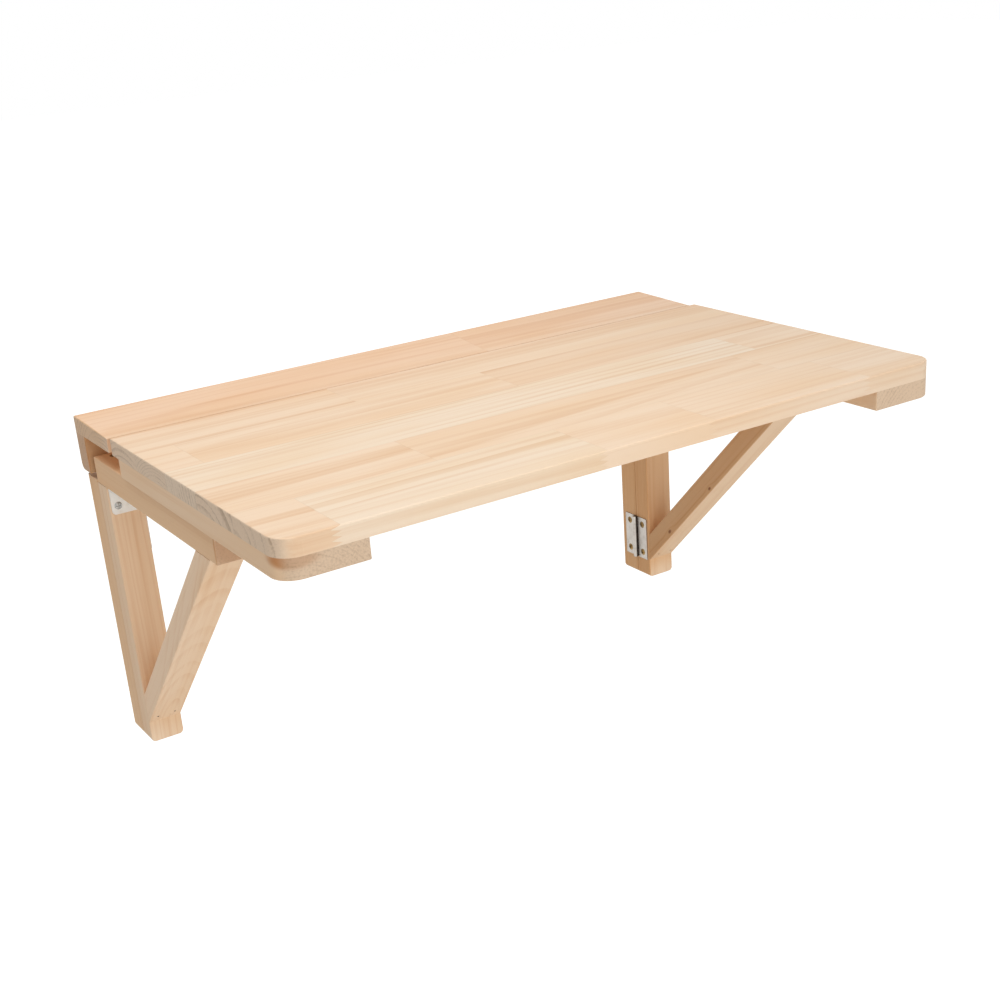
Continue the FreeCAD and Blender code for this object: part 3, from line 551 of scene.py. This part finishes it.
def plated(name, base, dull, roughness, patch, names, fold=()):
    """Plated metal with cloudy tarnish in patches of a size in mm, fine rubbing, and painted shade in a
    fold.
    """
    material, t = new_material(name)
    coords = t.add("ShaderNodeTexCoord").outputs
    cloud = t.noise(coords["Object"], (1 / (patch * MM),) * 3, *TARNISH_NOISE)[0]
    rub = t.noise(coords["Object"], RUB_SCALE)[0]
    color = t.mix(t.ease(cloud, *TARNISH_EDGE), base, dull)
    if fold:
        # Painted shade: the fold beside the barrel is darkened in the colour
        color = t.mix(fold_painted_shade(t, coords["Object"], *fold), color, FOLD_PAINTED_SHADE)
    rough = t.plus(roughness, t.times(t.plus(cloud, rub), RUB_ROUGHNESS))
    bump = t.add("ShaderNodeBump", {"Strength": RUB_STRENGTH, "Distance": RUB_DEPTH, "Height": rub})
    shader = t.add("ShaderNodeBsdfPrincipled", {"Base Color": color, "Roughness": rough, "Metallic": 1.0,
                                                "Normal": bump.outputs[0]})
    finish_material(t, shader.outputs[0])
    dress(material, *names)


def white_coat():
    """Cream powder coat with a fine orange peel."""
    material, t = new_material("white_coat")
    coords = t.add("ShaderNodeTexCoord").outputs
    peel = t.noise(coords["Object"], PEEL_SCALE)[0]
    tone_patch = t.noise(coords["Object"], COAT_STAIN_SCALE, COAT_STAIN_DETAIL)[0]
    color = t.mix(t.ease(tone_patch, *COAT_STAIN_EDGE), COAT_CLEAN, COAT_STAINED)
    bump = t.add("ShaderNodeBump", {"Strength": PEEL_STRENGTH, "Distance": PEEL_DEPTH, "Height": peel})
    rough = t.plus(COAT_ROUGHNESS[0], t.times(tone_patch, COAT_ROUGHNESS[1]))
    shader = t.add("ShaderNodeBsdfPrincipled", {"Base Color": color, "Roughness": rough,
                                                "Normal": bump.outputs[0]})
    finish_material(t, shader.outputs[0])
    dress(material, "left_corner_brace", "right_corner_brace")


# Grain of the braces, which rise into the room at 45 degrees, and the way across it
BRACE_AXIS = (0, -1, 1)
BRACE_SIDE = (0, 1, 1)
# Painted light: a paler patch on the front of both feet, where more light falls than on the posts above
FOOT_PAINTED_LIGHT = (CREAM, (-125, 0, -14), (27, 40, 9))

glued_top()
timber("wall_rail", ALONG_WALL, UP, UMBER, pith=(-12, 55), ring=5, contrast=0.4, tone_patch=RAIL_END_STAIN,
       seed=21.0)
# The resin-coloured patch at the top of the left batten's front end is painted shade in the groove under
# the leaf
timber("left_batten", INTO_ROOM, ALONG_WALL, BISCUIT, pith=(-22, -38), ring=6, contrast=0.05,
       tone_patch=(RESIN, (146, -24, 6), (24, 26, 8)), seed=30.0)
timber("right_batten", INTO_ROOM, ALONG_WALL, BISCUIT, pith=(22, -38), ring=6, contrast=0.2, seed=32.0)
timber("left_arm", INTO_ROOM, ALONG_WALL, STRAW, pith=(-30, -30), ring=3.5, contrast=0.15,
       tone_patch=(RESIN, (127, 0, 0), (4, 26, 22)), seed=40.0)
timber("right_arm", INTO_ROOM, ALONG_WALL, AMBER, pith=(-30, -30), ring=3.5, contrast=0.3, seed=42.0)
timber("left_wall_post", UP, ALONG_WALL, STRAW, pith=(40, 20), ring=3.5, contrast=0.3, seed=50.0)
timber("right_wall_post", UP, ALONG_WALL, AMBER, pith=(40, 20), ring=3.5, contrast=0.25, seed=52.0)
# The paler patch on the front of each swing post's foot is painted light
timber("left_swing_post", UP, ALONG_WALL, BISCUIT, pith=(30, 50), ring=2.2, contrast=0.5,
       tone_patch=FOOT_PAINTED_LIGHT, seed=60.0)
# The darker ground on the low-X face of the right swing post is painted shade
timber("right_swing_post", UP, ALONG_WALL, STRAW, pith=(10, 60), ring=2.2, contrast=0.4, low_x_shade=AMBER,
       tone_patch=FOOT_PAINTED_LIGHT, seed=62.0)
timber("left_brace", BRACE_AXIS, ALONG_WALL, TAN, pith=(4, 30), ring=6, dip=0.2, contrast=0.3, seed=70.0)
# The darker ground on the low-X face of the right brace is painted shade
timber("right_brace", BRACE_AXIS, BRACE_SIDE, BISCUIT, pith=(40, 10), ring=6, contrast=0.4, low_x_shade=UMBER,
       knots=((-10, 3, 1.6), (-101, 4, 1.9)), seed=72.0)
timber("rail_dowels", UP, ALONG_WALL, TAN, pith=(0, 60), ring=2, contrast=0.3, seed=81.0)

# Which way the barrel of each kind of hinge stands proud
BARREL_SIDES = {
    "leaf_hinge": (0, 0, -1),
    "left_upper_hinge": (1, 0, 0),
    "left_lower_hinge": (1, 0, 0),
    "right_upper_hinge": (-1, 0, 0),
    "right_lower_hinge": (-1, 0, 0),
}
HINGE_STEEL = {"base": srgb(190, 184, 177), "dull": srgb(170, 163, 155), "roughness": 0.30, "patch": 6}
HINGE_SCREWS = {"base": srgb(158, 128, 80), "dull": srgb(88, 70, 48), "roughness": 0.32, "patch": 2.4}
ZINC = {"base": srgb(180, 178, 174), "dull": srgb(120, 118, 114), "roughness": 0.30, "patch": 2.4}
BRAD_STEEL = {"base": srgb(120, 112, 104), "dull": srgb(72, 64, 58), "roughness": 0.45, "patch": 2.4}

hinges = [name for name in nodes if name.endswith("_plate") or name.endswith("_pin")]
brads = [name for name in nodes if name.endswith("_brads")]
angle_screws = [name for name in nodes if name.endswith("corner_brace_screws")]
other_screws = [name for name in nodes if "screw" in name and name not in angle_screws]
for kind, proud in BARREL_SIDES.items():
    family = [name for name in hinges if kind in name]
    pin = [name for name in family if name.endswith("_pin")][0]
    plated(f"{kind}_steel", names=family, fold=(pin, proud), **HINGE_STEEL)
plated("hinge_screw_plating", names=other_screws, **HINGE_SCREWS)
plated("zinc", names=angle_screws, **ZINC)
plated("brad_steel", names=brads, **BRAD_STEEL)
white_coat()

# Stage, in m: floor, sky, two softboxes and the camera
WHITE = (1, 1, 1, 1)
FLOOR_COLOUR = srgb(240, 239, 236)
FLOOR_DROP = 0.75
FLOOR_REACH = 12.0
FLOOR_LIFT = (0.66, 0.9)
LIFT_REACH = (1.0, 5.0)
SKY_LIGHT = 0.40
LIT_PLACE = Vector((0.0, -0.2, -0.05))
SOFTBOXES = {
    "overhead": {"place": (-0.4, -0.3, 2.0), "width": 1.8, "height": 1.8, "power": 23},
    "front": {"place": (0.0, -2.4, 0.35), "width": 2.0, "height": 1.4, "power": 17},
}
CAMERA_PLACE = (-0.6550, -1.2574, 0.3738)
CAMERA_TURN = (66.349, 4.052, -32.981)
SENSOR_MM = 36.0
LENS_MM = 55.193
LENS_SHIFT_SHARES = (-0.0018, 0.1078)


def seen_directly(t):
    """1 for rays from the camera, from reflections and through glass, and 0 for those that light things."""
    ray = t.add("ShaderNodeLightPath").outputs
    return t.math("MAXIMUM", t.math("MAXIMUM", ray["Is Camera Ray"], ray["Is Glossy Ray"]),
                  ray["Is Transmission Ray"])


def floor():
    level = cad_box[1][2] - FLOOR_DROP
    square = ((-1, -1), (1, -1), (1, 1), (-1, 1))
    corners = [(x * FLOOR_REACH, y * FLOOR_REACH, level) for x, y in square]
    mesh = bpy.data.meshes.new("floor")
    mesh.from_pydata(corners, [], [(0, 1, 2, 3)])
    plane = bpy.data.objects.new("floor", mesh)
    bpy.context.scene.collection.objects.link(plane)
    material, t = new_material("pale_floor")
    distance = t.vector("LENGTH", t.add("ShaderNodeTexCoord").outputs["Object"])
    lift = t.times(seen_directly(t), t.ease(distance, *LIFT_REACH, *FLOOR_LIFT))
    diffuse = t.add("ShaderNodeBsdfDiffuse", {"Color": FLOOR_COLOUR})
    glow = t.add("ShaderNodeEmission", {"Color": WHITE, "Strength": lift})
    both = t.add("ShaderNodeAddShader", {0: diffuse.outputs[0], 1: glow.outputs[0]})
    finish_material(t, both.outputs[0])
    mesh.materials.append(material)


def studio_world():
    """White to the camera and in reflections, and a soft even light for everything else."""
    world = bpy.data.worlds.new("studio")
    bpy.context.scene.world = world
    world.use_nodes = True
    world.node_tree.nodes.clear()
    t = Tree(world.node_tree)
    strength = t.spread(seen_directly(t), SKY_LIGHT, 1.0)
    sky = t.add("ShaderNodeBackground", {"Color": WHITE, "Strength": strength})
    output = t.add("ShaderNodeOutputWorld")
    t.feed(output.inputs["Surface"], sky.outputs[0])


def softbox(name, place, width, height, power):
    """Soft rectangular lamp that points at the lit place."""
    light = bpy.data.lights.new(name, "AREA")
    light.shape = "RECTANGLE"
    light.size = width
    light.size_y = height
    light.energy = power
    lamp = bpy.data.objects.new(name, light)
    bpy.context.scene.collection.objects.link(lamp)
    lamp.location = place
    lamp.rotation_euler = (LIT_PLACE - Vector(place)).to_track_quat("-Z", "Y").to_euler()


def camera():
    data = bpy.data.cameras.new("camera")
    data.sensor_width = SENSOR_MM
    data.lens = LENS_MM
    data.shift_x, data.shift_y = LENS_SHIFT_SHARES
    view = bpy.data.objects.new("camera", data)
    bpy.context.scene.collection.objects.link(view)
    view.location = CAMERA_PLACE
    view.rotation_euler = [math.radians(angle) for angle in CAMERA_TURN]
    bpy.context.scene.camera = view


floor()
studio_world()
for name, settings in SOFTBOXES.items():
    softbox(name, **settings)
camera()
bpy.context.scene.view_settings.view_transform = "Standard"
